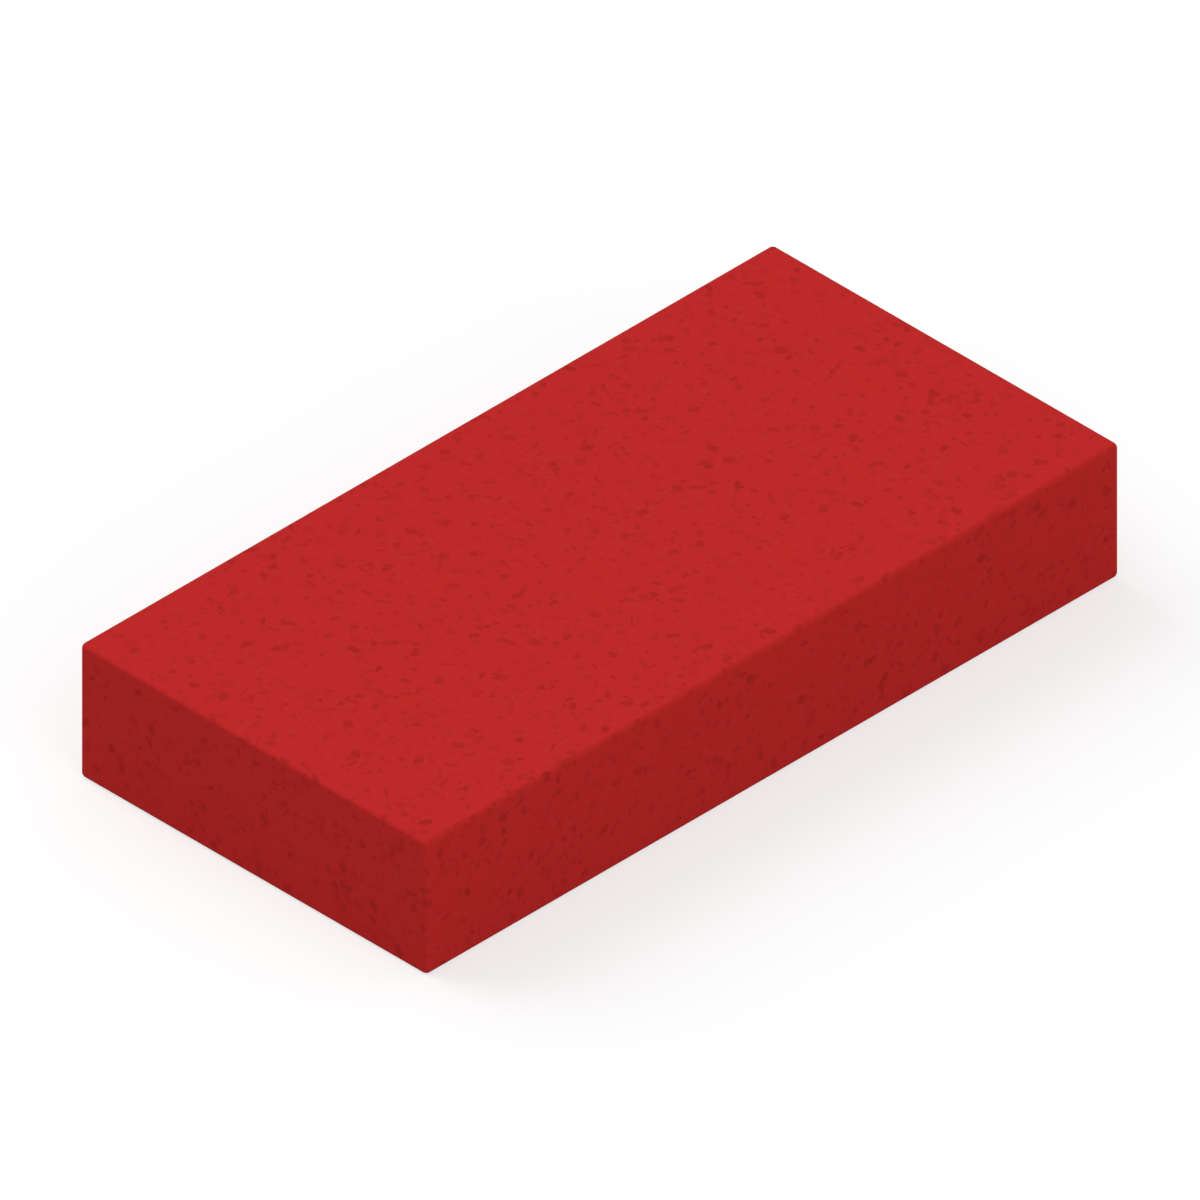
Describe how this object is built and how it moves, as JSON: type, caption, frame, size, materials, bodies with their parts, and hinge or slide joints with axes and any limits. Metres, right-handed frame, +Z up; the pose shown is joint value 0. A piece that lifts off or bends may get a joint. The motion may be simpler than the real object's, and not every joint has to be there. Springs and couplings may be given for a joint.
{
  "type": "concrete wall cap",
  "caption": "Flat rectangular block of red concrete with small rounded edges, laid as the cap on top of a masonry or retaining wall.",
  "frame": {"origin": "middle of the bed face, the flat underside that lies on the wall", "axes": "+X along the cap's length and the run of the wall, +Y across the wall, +Z up from the wall"},
  "size_m": [0.6096, 0.3048, 0.1016],
  "materials": {
    "red_concrete": "matte"
  },
  "bodies": {
    "root": {"wall_cap": "red_concrete"}
  },
  "joints": []
}
